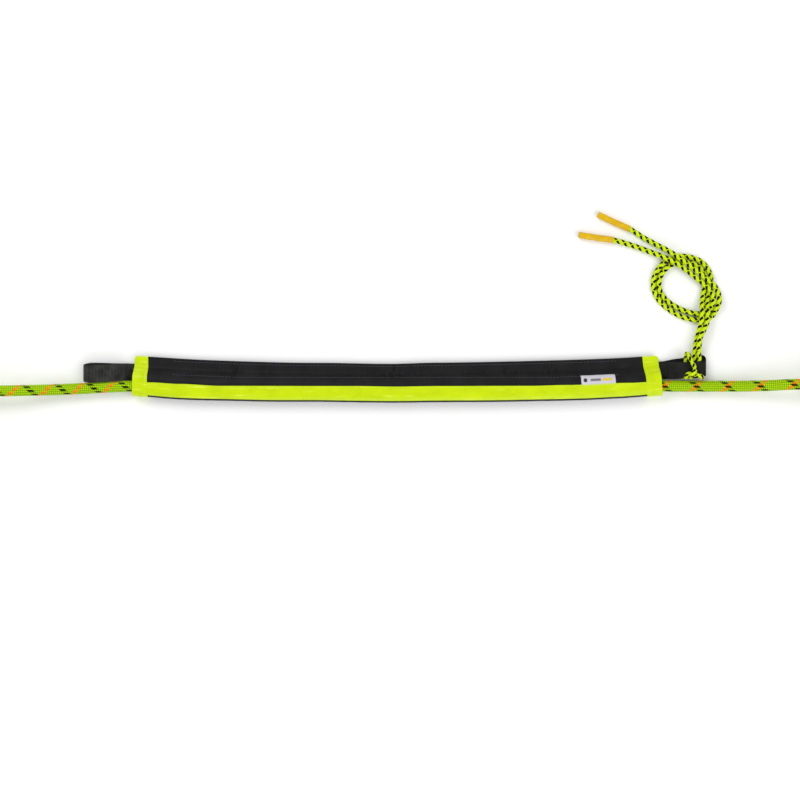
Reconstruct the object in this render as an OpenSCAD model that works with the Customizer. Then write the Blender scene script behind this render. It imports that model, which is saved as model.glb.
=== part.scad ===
// Rope protector: a fabric sleeve closed around a rope, with two webbing loops and a tie cord.
// It lies flat on its back, long axis along X, closed side up (+Z), fold towards -Y.

/* [Sleeve] */
// Length of the sleeve along its middle
sleeve_l = 500; // [480:5:520]
// Height of the closed, flat sleeve from fold to open edge
sleeve_w = 38; // [37.5:0.5:40]
// Radius of the gentle bow that the sleeve lies in
bow_r = 4750; // [4500:50:8000]
// Thickness of the coated fabric
fabric_t = 1.0; // [0.8:0.1:1.0]

/* [Trim] */
// Width of the end tapes along the sleeve
end_tape_w = 16; // [12:1:20]
// How far the wear strip reaches from the fold
strip_w = 15.3; // [12:0.1:16]
// Length of the woven label
label_l = 32; // [25:1:40]

/* [Fastener] */
// Length of the hook strip and the loop strip
fastener_l = 424; // [380:2:424]
// Thickness of each strip with its pile
fastener_t = 1.15; // [0.9:0.05:1.15]

/* [Rope] */
// Diameter of the rope
rope_d = 10.5; // [9:0.5:10.5]
// Diameter of the rope's core
rope_core_d = 8.4; // [7:0.2:8.4]
// Outer diameter of a stopper knot
knot_d = 31.5; // [28:0.5:32]
// Length of a stopper knot
knot_l = 32; // [26:1:36]

/* [Webbing] */
// Width of the webbing
webbing_w = 16; // [14:1:16]
// Thickness of the webbing
webbing_t = 0.8; // [0.6:0.1:0.8]
// Free length of the left loop
loop_left_l = 45; // [35:1:48]
// Free length of the right loop
loop_right_l = 42; // [38:1:46]

/* [Tie cord] */
// Diameter of the tie cord
cord_d = 5; // [4:0.5:5]
// Diameter of the shrunk end sleeves
end_sleeve_d = 6.2; // [5.5:0.1:6.5]
// Length of the shrunk end sleeves
end_sleeve_l = 33; // [25:1:40]

/* [Hidden] */

black = [0.15, 0.15, 0.15];
neon = [0.82, 0.91, 0.05];
lime = [0.55, 0.82, 0.12];
amber = [0.95, 0.70, 0.10];

grey = [0.3, 0.3, 0.3];

half_l = sleeve_l / 2;
half_w = sleeve_w / 2;

// Gap between touching layers of one body, and between faces of different bodies
lay = 0.05;
free = 0.4;
tape_t = 0.4;
leaf_t = 0.3;

// Label and stitching: place along the sleeve, thickness, width of a row of thread
label_x = 190;
label_t = 0.3;
thread_w = 0.6;
thread_t = 0.3;

// Tunnel section, in v (from the fold line towards the open edge) and z. The path runs along the
// inner face of the front flap: up from the fold, over the rope, down to the flat fastener field.
fold_v = 0.2 + fabric_t;
fold_z = 6.5;
tunnel_top = 12.95;
shoulder_v = 16.3;
shoulder_r = 6;
foot_r = 2.5;
flat_z = 3.7;
front_r = tunnel_top - fold_z;
front_v = fold_v + front_r;
foot_v = shoulder_v + shoulder_r + foot_r;

// The fastener field lies between the foot of the tunnel and the open edge.
fastener_v0 = foot_v + 0.4;
fastener_v1 = sleeve_w - 0.4;
hook_z = flat_z - lay - fastener_t;

// Rope and webbing places. A loop's legs part over its first millimetres: the lower one reaches the
// ground after splay_l, the upper one its full height after flare_l.
rope_y = -2.7;
rope_z = 7;
rope_half = half_l + 2;
webbing_z = 1.4;
loop_h = 10;
splay_l = 10;
flare_l = 14;
tail_l = 29;
tail_tilt = half_l / bow_r * 180 / PI;
left_web_y = 2.9;
right_web_y = 8.2;
tail_x = half_l + 0.7;
left_root_x = half_l + 1.9;
right_root_x = half_l + 1;

// Rows of dense stitches across a sewn-in webbing end
tack_places = [-24, -14];
tack_w = 1.6;
tack_t = 0.15;
tack_margin = 2;

// Hitch: start of its first turn, room round the webbing, and how far each turn's middle lies
// below and above the upper leg's underside
hitch_x = 277;
hitch_room = 0.3;
hitch_low = 2.5;
hitch_high = 3.9;

// Short end of rope past a stopper knot, and the rounding of the knot's barrel
stub_l = 18;
knot_round = 8;

// Rope routes from each mouth to its stopper knot
rope_left_route = [
    [-252, -2.7, 7], [-275, -3.6, 7], [-300, -5, 7.2], [-323, -6, 8.8],
    [-345, -6.6, 12.2], [-368, -7.1, 15.4], [-392, -7.2, 15.8]];
rope_right_route = [
    [252, -2.7, 7], [275, -2.7, 7], [300, -2.7, 7.2], [323, -2.7, 8.8],
    [347, -2.2, 12.2], [370, -1.1, 15.4], [396, -0.8, 15.8]];

// Middle line of the doubled tie cord: x, y, z and half the distance between its two legs.
// It leaves the webbing, goes over the ring's end, round the ring, under itself and over again.
cord_route = [
    [286.5, 32.5, 6.4, 2.6], [288, 44, 5.4, 2.6], [290, 57, 7.9, 2.6], [291, 68, 8.3, 2.6],
    [291.8, 78, 3.4, 2.65], [294, 90, 2.6, 2.65], [294.5, 102, 2.6, 2.7], [288.5, 112, 2.6, 2.7],
    [278, 117, 2.6, 2.65], [265.5, 117.5, 2.6, 2.65], [254, 111.5, 2.6, 2.7], [247, 101.5, 2.6, 2.7],
    [246, 90, 2.6, 2.65], [251, 80, 2.6, 2.65], [259.5, 72.5, 2.6, 2.7], [270.5, 66.5, 2.6, 3],
    [282, 63.5, 2.6, 3], [293.5, 63.5, 2.6, 2.8], [302, 69.5, 2.6, 2.9], [305, 79, 6, 2.8],
    [298.5, 89.5, 7.9, 2.7], [288.5, 98.5, 7.9, 2.65], [278, 107, 7.9, 2.65], [267.5, 114.5, 8.1, 2.7]];
tail_a = [[253, 119, 7.4], [240, 124.5, 4.4], [224, 130.5, 2.9], [205, 136, 3.1]];
tail_b = [[258.5, 124, 7.4], [246.5, 131, 4.4], [234, 138, 2.9], [220.5, 146.5, 3.1]];
end_a_turn = 171.5;
end_b_turn = 155.5;

// ---- shapes in the plane ----

function arc(v, z, r, from, to, n) =
    [for (i = [0 : n]) [v + r * cos(from + (to - from) * i / n), z + r * sin(from + (to - from) * i / n)]];

function reversed(p) = [for (i = [len(p) - 1 : -1 : 0]) p[i]];

// Face of the front flap, a distance out from its inner face, run on past its two edges
function front_path(out, past = 0) = concat(
    [[front_v - front_r - out, fold_z - past]],
    arc(front_v, fold_z, front_r + out, 175, 90, 8),
    arc(shoulder_v, tunnel_top - shoulder_r, shoulder_r + out, 90, 0, 8),
    arc(foot_v, flat_z + foot_r, foot_r - out, 180, 270, 6),
    [[sleeve_w + past, flat_z + out]]);

// Face of the back half, a distance in from the underside, run on past its two edges
function back_path(in, past = 0) = concat(
    [[fold_v - fabric_t + in, fold_z - free + past]],
    arc(fold_z + 0.2, fold_z, fold_z - in, 186, 270, 8),
    [[sleeve_w + past, in]]);

function wear_path(out) = concat(
    arc(front_v, fold_z, front_r + out, 170, 90, 8),
    [[strip_w, tunnel_top + out]]);

function label_path(out) = concat(
    [[strip_w + 0.2, tunnel_top + out]],
    arc(shoulder_v, tunnel_top - shoulder_r, shoulder_r + out, 90, 12, 6));

module between(near, far) polygon(concat(near, reversed(far)));

// Carries a section, drawn in v and z, along the bow from x0 to x1
module bow(x0, x1) {
    deg = 180 / PI / bow_r;
    translate([0, bow_r, 0])
        rotate([0, 0, x0 * deg - 90])
            rotate_extrude(angle = (x1 - x0) * deg, $fn = 1440)
                translate([bow_r + half_w, 0])
                    mirror([1, 0])
                        children();
}

// The same over the stretch from a to b, counted outwards from the sleeve's middle
module bow_end(side, a, b) bow(min(side * a, side * b), max(side * a, side * b)) children();

// ---- sleeve ----

module back_panel() color(black) difference() {
    bow(-half_l, half_l) between(back_path(0), back_path(fabric_t));
    for (side = [-1, 1])
        bow_end(side, half_l - end_tape_w, half_l + 1)
            between(back_path(-1, 1), back_path(tape_t + lay, 1));
}

module front_panel() color(black)
    bow(-half_l, half_l) between(front_path(0), front_path(fabric_t));

module loop_strip() color(black)
    bow(-fastener_l / 2, fastener_l / 2)
        translate([fastener_v0, fabric_t + lay]) square([fastener_v1 - fastener_v0, fastener_t]);

module hook_strip() color(black)
    bow(-fastener_l / 2, fastener_l / 2)
        translate([fastener_v0, hook_z]) square([fastener_v1 - fastener_v0, fastener_t]);

module wear_strip() color(neon) {
    reach = half_l - end_tape_w - lay;
    bow(-reach, reach) between(wear_path(fabric_t + lay), wear_path(fabric_t + lay + tape_t));
}

// Tape folded over the cut end of the back half: a shallow channel with room for the fabric
module end_tape_back(side) color(neon) difference() {
    bow_end(side, half_l - end_tape_w + lay, half_l + lay + tape_t)
        between(back_path(0), back_path(fabric_t + lay + leaf_t));
    bow_end(side, half_l - end_tape_w - 1, half_l + lay)
        between(back_path(tape_t, 1), back_path(fabric_t + lay, 1));
}

module end_tape_front(side) color(neon) difference() {
    bow_end(side, half_l - end_tape_w, half_l + lay + tape_t)
        between(front_path(-lay - leaf_t), front_path(fabric_t + lay + tape_t));
    bow_end(side, half_l - end_tape_w - 1, half_l + lay)
        between(front_path(-lay, 1), front_path(fabric_t + lay, 1));
}

module end_tape_left_back() end_tape_back(-1);
module end_tape_left_front() end_tape_front(-1);
module end_tape_right_back() end_tape_back(1);
module end_tape_right_front() end_tape_front(1);

module woven_label() color("white")
    bow(label_x - label_l / 2, label_x + label_l / 2)
        between(label_path(fabric_t + lay), label_path(fabric_t + lay + label_t));

module fastener_stitching() color(grey)
    for (v = [fastener_v0 + thread_w, fastener_v1 - 3 * thread_w])
        bow(-fastener_l / 2, fastener_l / 2)
            translate([v, flat_z + fabric_t + lay]) square([thread_w, thread_t]);

// ---- webbing ----

// Side view of a loop that leaves the mouth at x = 0: two legs that part into an open eye
module loop_outline(l) {
    end_r = loop_h / 2;
    low = webbing_z + webbing_t;
    difference() {
        polygon(concat([[0, webbing_z], [splay_l, 0]], arc(l - end_r, end_r, end_r, -90, 90, 12),
                       [[flare_l, loop_h], [0, low + webbing_t + lay]]));
        polygon(concat([[4 * lay, low], [splay_l, webbing_t]],
                       arc(l - end_r, end_r, end_r - webbing_t, -90, 90, 12),
                       [[flare_l + 6 * lay, loop_h - webbing_t]]));
    }
}

module webbing_loop(l) rotate([90, 0, 0])
    translate([0, 0, -webbing_w]) linear_extrude(webbing_w) loop_outline(l);

// The sewn-in end of a webbing: its two legs, one on the other, turned to follow the bow
module webbing_tail() rotate([0, 0, tail_tilt]) translate([-tail_l, 0, webbing_z])
    cube([tail_l, webbing_w, 2 * webbing_t + lay]);

module webbing_tail_left() color(black)
    translate([-tail_x, left_web_y, 0]) mirror([1, 0, 0]) webbing_tail();
module webbing_tail_right() color(black) translate([tail_x, right_web_y, 0]) webbing_tail();

module webbing_loop_left() color(black)
    translate([-left_root_x, left_web_y, 0]) mirror([1, 0, 0]) webbing_loop(loop_left_l);
module webbing_loop_right() color(black)
    translate([right_root_x, right_web_y, 0]) webbing_loop(loop_right_l);

// Two dense rows of thread across a tail
module bar_tacks() rotate([0, 0, tail_tilt])
    for (x = tack_places) translate([x, tack_margin, webbing_z + 2 * webbing_t + 2 * lay])
        cube([tack_w, webbing_w - 2 * tack_margin, tack_t]);

module bar_tacks_left() color(grey)
    translate([-tail_x, left_web_y, 0]) mirror([1, 0, 0]) bar_tacks();
module bar_tacks_right() color(grey)
    translate([tail_x, right_web_y, 0]) bar_tacks();

// ---- cords ----

function unit(a) = a / norm(a);

// Direction of a route at point i
function along(p, i) = unit(p[min(i + 1, len(p) - 1)] - p[max(i - 1, 0)]);

// Ring of corners round point i of a route
function ring(p, i, r, sides) =
    let (t = along(p, i), s = unit(cross(t, [0, 0, 1])), n = cross(s, t))
    [for (k = [0 : sides - 1]) p[i] + r * (s * cos(360 * k / sides) + n * sin(360 * k / sides))];

module tube(p, d, sides) {
    rings = len(p);
    last = (rings - 1) * sides;
    walls = [for (i = [0 : rings - 2]) for (k = [0 : sides - 1]) let (m = (k + 1) % sides)
        [i * sides + k, (i + 1) * sides + k, (i + 1) * sides + m, i * sides + m]];
    polyhedron(
        points = [for (i = [0 : rings - 1]) for (c = ring(p, i, d / 2, sides)) c],
        faces = concat(walls, [[for (k = [0 : sides - 1]) k]],
                       [[for (k = [sides - 1 : -1 : 0]) last + k]]));
}

// Route of one leg: the doubled route moved sideways, side -1 to its left and 1 to its right
function leg_route(side, tail) = concat(
    [for (i = [0 : len(cord_route) - 1])
        let (q = [for (c = cord_route) [c[0], c[1], c[2]]], t = along(q, i), s = unit([t[1], -t[0], 0]))
        q[i] + side * cord_route[i][3] * s],
    tail);

module rope_core() color("white") translate([-rope_half, rope_y, rope_z]) rotate([0, 90, 0])
    cylinder(d = rope_core_d, h = 2 * rope_half, $fn = 48);

module rope_sheath() color(lime) translate([-rope_half, rope_y, rope_z]) rotate([0, 90, 0])
    difference() {
        cylinder(d = rope_d, h = 2 * rope_half, $fn = 48);
        translate([0, 0, -1]) cylinder(d = rope_core_d + 2 * lay, h = 2 * rope_half + 2, $fn = 48);
    }

module rope_left() color(lime) tube(rope_left_route, rope_d, 12);
module rope_right() color(lime) tube(rope_right_route, rope_d, 12);

// Barrel-shaped stopper knot, its axis along X from the origin, with the rope's short end
module knot() rotate([0, 90, 0]) {
    r = knot_round;
    rotate_extrude($fn = 48) polygon(concat([[0, 0]], arc(knot_d / 2 - r, r, r, -90, 0, 6),
        arc(knot_d / 2 - r, knot_l - r, r, 0, 90, 6), [[0, knot_l]]));
    translate([0, 0, knot_l - 1]) cylinder(d = rope_d, h = stub_l + 1, $fn = 48);
}

module rope_knot_left() color(lime)
    translate(rope_left_route[len(rope_left_route) - 1]) mirror([1, 0, 0]) knot();
module rope_knot_right() color(lime)
    translate(rope_right_route[len(rope_right_route) - 1]) knot();

// Two turns of cord round the upper leg of the right loop
module tie_cord_hitch() color(neon) {
    z0 = loop_h - webbing_t - hitch_room;
    y0 = right_web_y - hitch_room;
    y1 = right_web_y + webbing_w + hitch_room;
    for (x = [hitch_x, hitch_x + cord_d + lay]) translate([x, 0, 0]) rotate([90, 0, 90])
        linear_extrude(cord_d) difference() {
            hull() for (y = [y0 - cord_d / 2, y1 + cord_d / 2])
                for (z = [z0 - hitch_low, z0 + hitch_high])
                    translate([y, z]) circle(d = cord_d, $fn = 24);
            translate([y0, z0]) square([y1 - y0, webbing_t + 2 * hitch_room]);
        }
}

module tie_cord_leg_a() color(neon) tube(leg_route(-1, tail_a), cord_d, 8);
module tie_cord_leg_b() color(neon) tube(leg_route(1, tail_b), cord_d, 8);

module cord_end_sleeve(tail, turn) color(amber)
    translate(tail[len(tail) - 1]) rotate([0, 90, turn])
        translate([0, 0, lay]) cylinder(d = end_sleeve_d, h = end_sleeve_l, $fn = 32);

module cord_end_sleeve_a() cord_end_sleeve(tail_a, end_a_turn);
module cord_end_sleeve_b() cord_end_sleeve(tail_b, end_b_turn);

back_panel();
front_panel();
loop_strip();
hook_strip();
wear_strip();
end_tape_left_back();
end_tape_left_front();
end_tape_right_back();
end_tape_right_front();
woven_label();
fastener_stitching();
webbing_tail_left();
webbing_tail_right();
webbing_loop_left();
webbing_loop_right();
bar_tacks_left();
bar_tacks_right();
rope_core();
rope_sheath();
rope_left();
rope_right();
rope_knot_left();
rope_knot_right();
tie_cord_hitch();
tie_cord_leg_a();
tie_cord_leg_b();
cord_end_sleeve_a();
cord_end_sleeve_b();
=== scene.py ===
"""Looks of a rope protector: a fabric sleeve closed round a rope, with webbing loops and a tie cord.

Everything is in metres, in the part's own frame: X along the sleeve, +Y towards its open edge, +Z up.
A place on the sleeve's cloth is x, along the sleeve, and t, the way round its section: from the open
edge of the back half, round the fold, over the rope and on to the open edge of the front half.
"""
import math

import bmesh
import bpy
import numpy as np
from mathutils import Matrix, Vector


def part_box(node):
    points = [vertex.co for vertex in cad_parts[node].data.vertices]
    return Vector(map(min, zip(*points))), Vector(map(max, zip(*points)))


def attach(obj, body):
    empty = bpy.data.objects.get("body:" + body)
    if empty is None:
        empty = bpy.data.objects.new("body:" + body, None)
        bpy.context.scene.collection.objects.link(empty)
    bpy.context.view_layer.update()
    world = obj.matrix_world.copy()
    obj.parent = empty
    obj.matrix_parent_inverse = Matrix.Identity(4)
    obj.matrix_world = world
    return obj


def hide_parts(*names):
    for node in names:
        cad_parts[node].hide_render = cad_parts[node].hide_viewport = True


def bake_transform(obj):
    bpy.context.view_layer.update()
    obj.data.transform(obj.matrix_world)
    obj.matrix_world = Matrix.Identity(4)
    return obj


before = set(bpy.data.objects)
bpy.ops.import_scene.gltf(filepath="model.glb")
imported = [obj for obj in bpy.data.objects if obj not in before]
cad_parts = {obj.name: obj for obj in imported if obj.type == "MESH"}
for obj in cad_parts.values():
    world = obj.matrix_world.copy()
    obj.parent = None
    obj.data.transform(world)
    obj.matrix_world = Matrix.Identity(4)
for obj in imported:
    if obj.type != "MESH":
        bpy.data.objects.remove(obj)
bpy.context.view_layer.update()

mm = 0.001
rng = np.random.default_rng(11)

# ---- camera

CAMERA_HEIGHT = 1.4
VIEW_WIDTH = 0.76
VIEW_CENTRE = (0.00285, -0.0157)
SENSOR_WIDTH = 36
camera_data = bpy.data.cameras.new("camera")
camera = bpy.data.objects.new("camera", camera_data)
camera.location = (*VIEW_CENTRE, CAMERA_HEIGHT)
camera_data.sensor_width = SENSOR_WIDTH
camera_data.lens = SENSOR_WIDTH * CAMERA_HEIGHT / VIEW_WIDTH
bpy.context.scene.collection.objects.link(camera)
bpy.context.scene.camera = camera
bpy.context.scene.view_settings.view_transform = "Standard"

# ---- sizes from the part

sheath_low, sheath_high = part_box("rope_sheath")
ROPE_R = (sheath_high.y - sheath_low.y) / 2
ROPE_Y = (sheath_high.y + sheath_low.y) / 2
ROPE_Z = (sheath_high.z + sheath_low.z) / 2
ROPE_HALF = sheath_high.x
CORD_R = 2.5 * mm
END_SLEEVE_R = 3.1 * mm
END_SLEEVE_L = 33 * mm
KNOT_R = (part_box("rope_knot_left")[1].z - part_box("rope_knot_left")[0].z) / 2
KNOT_L = 32 * mm
STUB_L = 18 * mm

# Routes of the rope's two ends, as in the part's source
ROPE_LEFT = [
    (-0.252, -0.0027, 0.007), (-0.275, -0.0036, 0.007), (-0.300, -0.005, 0.0072),
    (-0.323, -0.006, 0.0088), (-0.345, -0.0066, 0.0122), (-0.368, -0.0071, 0.0154),
    (-0.392, -0.0072, 0.0158)]
ROPE_RIGHT = [
    (0.252, -0.0027, 0.007), (0.275, -0.0027, 0.007), (0.300, -0.0027, 0.0072),
    (0.323, -0.0027, 0.0088), (0.347, -0.0022, 0.0122), (0.370, -0.0011, 0.0154),
    (0.396, -0.0008, 0.0158)]
# Middle line of the doubled tie cord: x, y, z and half the distance between its two legs. It is the part's
# route, but for the points at x 0.2992 and 0.302, which lie about 3 mm nearer to the ring's middle
# and up to 1 mm higher
CORD_ROUTE = [
    (0.2865, 0.0325, 0.0064, 0.0026), (0.288, 0.044, 0.0054, 0.0026),
    (0.290, 0.057, 0.0079, 0.0026), (0.291, 0.068, 0.0083, 0.0026),
    (0.2918, 0.078, 0.0034, 0.00265), (0.294, 0.090, 0.0026, 0.00265),
    (0.2945, 0.102, 0.0026, 0.0027), (0.2885, 0.112, 0.0026, 0.0027),
    (0.278, 0.117, 0.0026, 0.00265), (0.2655, 0.1175, 0.0026, 0.00265),
    (0.254, 0.1115, 0.0026, 0.0027), (0.247, 0.1015, 0.0026, 0.0027),
    (0.246, 0.090, 0.0026, 0.00265), (0.251, 0.080, 0.0026, 0.00265),
    (0.2595, 0.0725, 0.0026, 0.0027), (0.2705, 0.0665, 0.0026, 0.003),
    (0.282, 0.0635, 0.0026, 0.003), (0.2935, 0.0635, 0.0026, 0.0028),
    (0.2992, 0.0695, 0.0027, 0.0027), (0.302, 0.079, 0.007, 0.0027),
    (0.2985, 0.0895, 0.0079, 0.0027), (0.2885, 0.0985, 0.0079, 0.00265),
    (0.278, 0.107, 0.0079, 0.00265), (0.2675, 0.1145, 0.0081, 0.0027)]
TAIL_A = [(0.253, 0.119, 0.0074), (0.240, 0.1245, 0.0044), (0.224, 0.1305, 0.0029), (0.205, 0.136, 0.0031)]
TAIL_B = [(0.2585, 0.124, 0.0074), (0.2465, 0.131, 0.0044), (0.234, 0.138, 0.0029), (0.2205, 0.1465, 0.0031)]
END_A_TURN = math.radians(171.5)
END_B_TURN = math.radians(155.5)
# By the webbing the legs lie crossed, the upper leg over the lower one; the part has them side by side
CROSSED = {-1: ((0.282, 0.0318, 0.0052), (0.2842, 0.043, 0.004)),
           1: ((0.285, 0.0318, 0.0084), (0.2862, 0.043, 0.009))}

# ---- mesh helpers

SHARP_ANGLE = math.radians(50)

def make(name, points, faces, places, material):
    """Mesh object. places gives each face corner its place in the weave, as a UV layer."""
    mesh = bpy.data.meshes.new(name)
    mesh.from_pydata([tuple(p) for p in points], [], faces)
    layer = mesh.uv_layers.new(name="weave")
    layer.data.foreach_set("uv", np.asarray(places, np.float32).ravel())
    turn_outward(mesh)
    mesh.shade_smooth()
    mesh.set_sharp_from_angle(angle=SHARP_ANGLE)
    mesh.materials.append(material)
    obj = bpy.data.objects.new(name, mesh)
    bpy.context.scene.collection.objects.link(obj)
    return obj


def turn_outward(mesh):
    work = bmesh.new()
    work.from_mesh(mesh)
    bmesh.ops.recalc_face_normals(work, faces=work.faces)
    work.to_mesh(mesh)
    work.free()


def join_up(parts):
    """Several (points, faces, places) as one."""
    points, faces, places, offset = [], [], [], 0
    for p, f, w in parts:
        points.append(np.asarray(p, float).reshape(-1, 3))
        faces += [[i + offset for i in face] for face in f]
        places.append(np.asarray(w, float).reshape(-1, 2))
        offset += len(points[-1])
    return np.vstack(points), faces, np.vstack(places)


def grid(points, weave, wrap=False):
    """Faces over a grid of points [row, column]. With wrap, the last column joins the first, and weave has
    one column more than points."""
    rows, cols = points.shape[:2]
    r, c = np.meshgrid(np.arange(rows - 1), np.arange(cols if wrap else cols - 1), indexing="ij")
    r, c = r.ravel(), c.ravel()
    corner_r = np.stack([r, r + 1, r + 1, r], 1)
    corner_c = np.stack([c, c, c + 1, c + 1], 1)
    faces = corner_r * cols + corner_c % cols
    return points.reshape(-1, 3), faces.tolist(), weave[corner_r, corner_c].reshape(-1, 2)


def tube_parts(rings, weave):
    """Closed tube from rings [ring, side], with a face on each end."""
    points, faces, places = grid(rings, weave, wrap=True)
    sides, last = rings.shape[1], (rings.shape[0] - 1) * rings.shape[1]
    ends = [list(range(sides)), list(range(last + sides - 1, last - 1, -1))]
    end_places = np.vstack([weave[0, :sides], weave[-1, :sides][::-1]])
    return points, faces + ends, np.vstack([places, end_places])


def shell_parts(outer, inner, weave):
    """Closed sheet between two grids of points."""
    rows, cols = outer.shape[:2]
    edge = [(r, 0) for r in range(rows)] + [(rows - 1, c) for c in range(1, cols)]
    edge += [(r, cols - 1) for r in range(rows - 2, -1, -1)] + [(0, c) for c in range(cols - 2, 0, -1)]
    p, f, w = grid(outer, weave)
    q, g, _ = grid(inner, weave)
    count = rows * cols
    rim, rim_places = [], []
    for (r0, c0), (r1, c1) in zip(edge, edge[1:] + edge[:1]):
        a, b = r0 * cols + c0, r1 * cols + c1
        rim.append([a, b, b + count, a + count])
        rim_places += [weave[r0, c0], weave[r1, c1], weave[r1, c1], weave[r0, c0]]
    inner_faces = [[i + count for i in reversed(face)] for face in g]
    inner_places = w.reshape(-1, 4, 2)[:, ::-1].reshape(-1, 2)
    return np.vstack([p, q]), f + inner_faces + rim, np.vstack([w, inner_places, rim_places])


def pairs(a, b):
    """Grid of weave coordinates, from one that changes along the rows and one along the columns."""
    return np.stack(np.broadcast_arrays(a, b), 2)


def around(angle, side, up):
    """Directions to the sides of a tube, at angles from its side towards its up."""
    return np.cos(angle)[None, :, None] * side + np.sin(angle)[None, :, None] * up


def headings(turn):
    """Directions along and across a turn from X, level with the ground."""
    return np.array([math.cos(turn), math.sin(turn), 0]), np.array([-math.sin(turn), math.cos(turn), 0])


def unit(v):
    return v / np.linalg.norm(v, axis=-1, keepdims=True)


def smooth_path(points, step):
    """Even steps along one smooth curve through the points."""
    p = np.array(points, float)
    ends = np.vstack([2 * p[0] - p[1], p, 2 * p[-1] - p[-2]])
    t = np.linspace(0, 1, 24, endpoint=False)[:, None]
    fine = [0.5 * (2 * b + (c - a) * t + (2 * a - 5 * b + 4 * c - d) * t ** 2
                   + (3 * b - a - 3 * c + d) * t ** 3)
            for a, b, c, d in zip(ends, ends[1:], ends[2:], ends[3:])]
    fine = np.vstack(fine + [p[-1:]])
    s = lengths(fine)
    even = np.linspace(0, s[-1], int(round(s[-1] / step)) + 1)
    return np.stack([np.interp(even, s, fine[:, k]) for k in range(p.shape[1])], 1)


def lengths(path):
    return np.r_[0, np.cumsum(np.linalg.norm(np.diff(path[:, :3], axis=0), axis=1))]


def frames(path):
    """Side and lift along a path, carried on without twist from an upright start."""
    tangent = unit(np.gradient(path, axis=0))
    side = np.zeros_like(path)
    side[0] = unit(np.cross(tangent[0], (0, 0, 1)))
    for i in range(1, len(path)):
        s = side[i - 1] - tangent[i] * np.dot(side[i - 1], tangent[i])
        side[i] = s / np.linalg.norm(s)
    return side, np.cross(side, tangent)


def ease(x, table):
    """Smooth steps between given (x, value) pairs, in millimetres."""
    xs, values = np.array(table, float).T * mm
    i = np.clip(np.searchsorted(xs, x) - 1, 0, len(xs) - 2)
    f = np.clip((x - xs[i]) / (xs[i + 1] - xs[i]), 0, 1)
    return values[i] + (values[i + 1] - values[i]) * f * f * (3 - 2 * f)


# ---- material helpers


def linear(*srgb):
    """Shader colour from 0 to 255 screen values."""
    return tuple(c / 255 / 12.92 if c < 10.5 else ((c / 255 + 0.055) / 1.055) ** 2.4 for c in srgb) + (1.0,)


class Number:
    """A shader value that is written as ordinary arithmetic."""

    def __init__(self, tree, socket):
        self.tree, self.socket = tree, socket

    def op(self, operation, *others):
        node = self.tree.nodes.new("ShaderNodeMath")
        node.operation = operation
        for i, item in enumerate((self,) + others):
            if isinstance(item, Number):
                self.tree.links.new(item.socket, node.inputs[i])
            else:
                node.inputs[i].default_value = item
        return Number(self.tree, node.outputs[0])

    def __add__(self, other): return self.op("ADD", other)
    def __sub__(self, other): return self.op("SUBTRACT", other)
    def __mul__(self, other): return self.op("MULTIPLY", other)
    def __mod__(self, other): return self.op("FLOORED_MODULO", other)
    def __lt__(self, other): return self.op("LESS_THAN", other)
    def __gt__(self, other): return self.op("GREATER_THAN", other)
    def floor(self): return self.op("FLOOR")
    def fract(self): return self.op("FRACT")
    def absolute(self): return self.op("ABSOLUTE")
    def sine(self): return self.op("SINE")
    def flipped(self): return self * -1.0 + 1.0

    def near(self, centre, period):
        """Distance to the nearest of a row of centres."""
        return ((self - centre + period / 2) % period - period / 2).absolute()

    def ramp(self, low, high):
        node = self.tree.nodes.new("ShaderNodeMapRange")
        self.tree.links.new(self.socket, node.inputs["Value"])
        node.inputs["From Min"].default_value, node.inputs["From Max"].default_value = low, high
        return Number(self.tree, node.outputs[0])


class Finish:
    """A Principled material under construction, with the weave's two coordinates at hand."""

    def __init__(self, name, colour, roughness, **settings):
        self.material = bpy.data.materials.new(name)
        self.material.use_nodes = True
        self.tree = self.material.node_tree
        self.shader = self.tree.nodes["Principled BSDF"]
        self.shader.inputs["Base Color"].default_value = colour
        self.shader.inputs["Roughness"].default_value = roughness
        for key, value in settings.items():
            self.shader.inputs[key.replace("_", " ")].default_value = value
        self.uv = self.tree.nodes.new("ShaderNodeUVMap")
        self.uv.uv_map = "weave"
        split = self.tree.nodes.new("ShaderNodeSeparateXYZ")
        self.tree.links.new(self.uv.outputs[0], split.inputs[0])
        self.u, self.v = Number(self.tree, split.outputs[0]), Number(self.tree, split.outputs[1])

    def noise(self, scale, detail=3.0, stretch=(1, 1)):
        mapping = self.tree.nodes.new("ShaderNodeMapping")
        mapping.inputs["Scale"].default_value = (stretch[0], stretch[1], 1)
        self.tree.links.new(self.uv.outputs[0], mapping.inputs[0])
        node = self.tree.nodes.new("ShaderNodeTexNoise")
        node.inputs["Scale"].default_value = scale
        node.inputs["Detail"].default_value = detail
        self.tree.links.new(mapping.outputs[0], node.inputs["Vector"])
        return Number(self.tree, node.outputs[0])

    def mix(self, factor, first, second):
        """first where factor is 0, second where it is 1. Each is a colour or a node output."""
        node = self.tree.nodes.new("ShaderNodeMix")
        node.data_type = "RGBA"
        self.tree.links.new(factor.socket, node.inputs["Factor"])
        for socket, item in ((node.inputs[6], first), (node.inputs[7], second)):
            if isinstance(item, tuple):
                socket.default_value = item
            else:
                self.tree.links.new(item, socket)
        return node.outputs[2]

    def colour(self, output):
        self.tree.links.new(output, self.shader.inputs["Base Color"])

    def roughness(self, value):
        self.tree.links.new(value.socket, self.shader.inputs["Roughness"])

    def bump(self, height, distance, strength=1.0):
        node = self.tree.nodes.new("ShaderNodeBump")
        node.inputs["Strength"].default_value = strength
        node.inputs["Distance"].default_value = distance
        self.tree.links.new(height.socket, node.inputs["Height"])
        self.tree.links.new(node.outputs[0], self.shader.inputs["Normal"])


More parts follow.
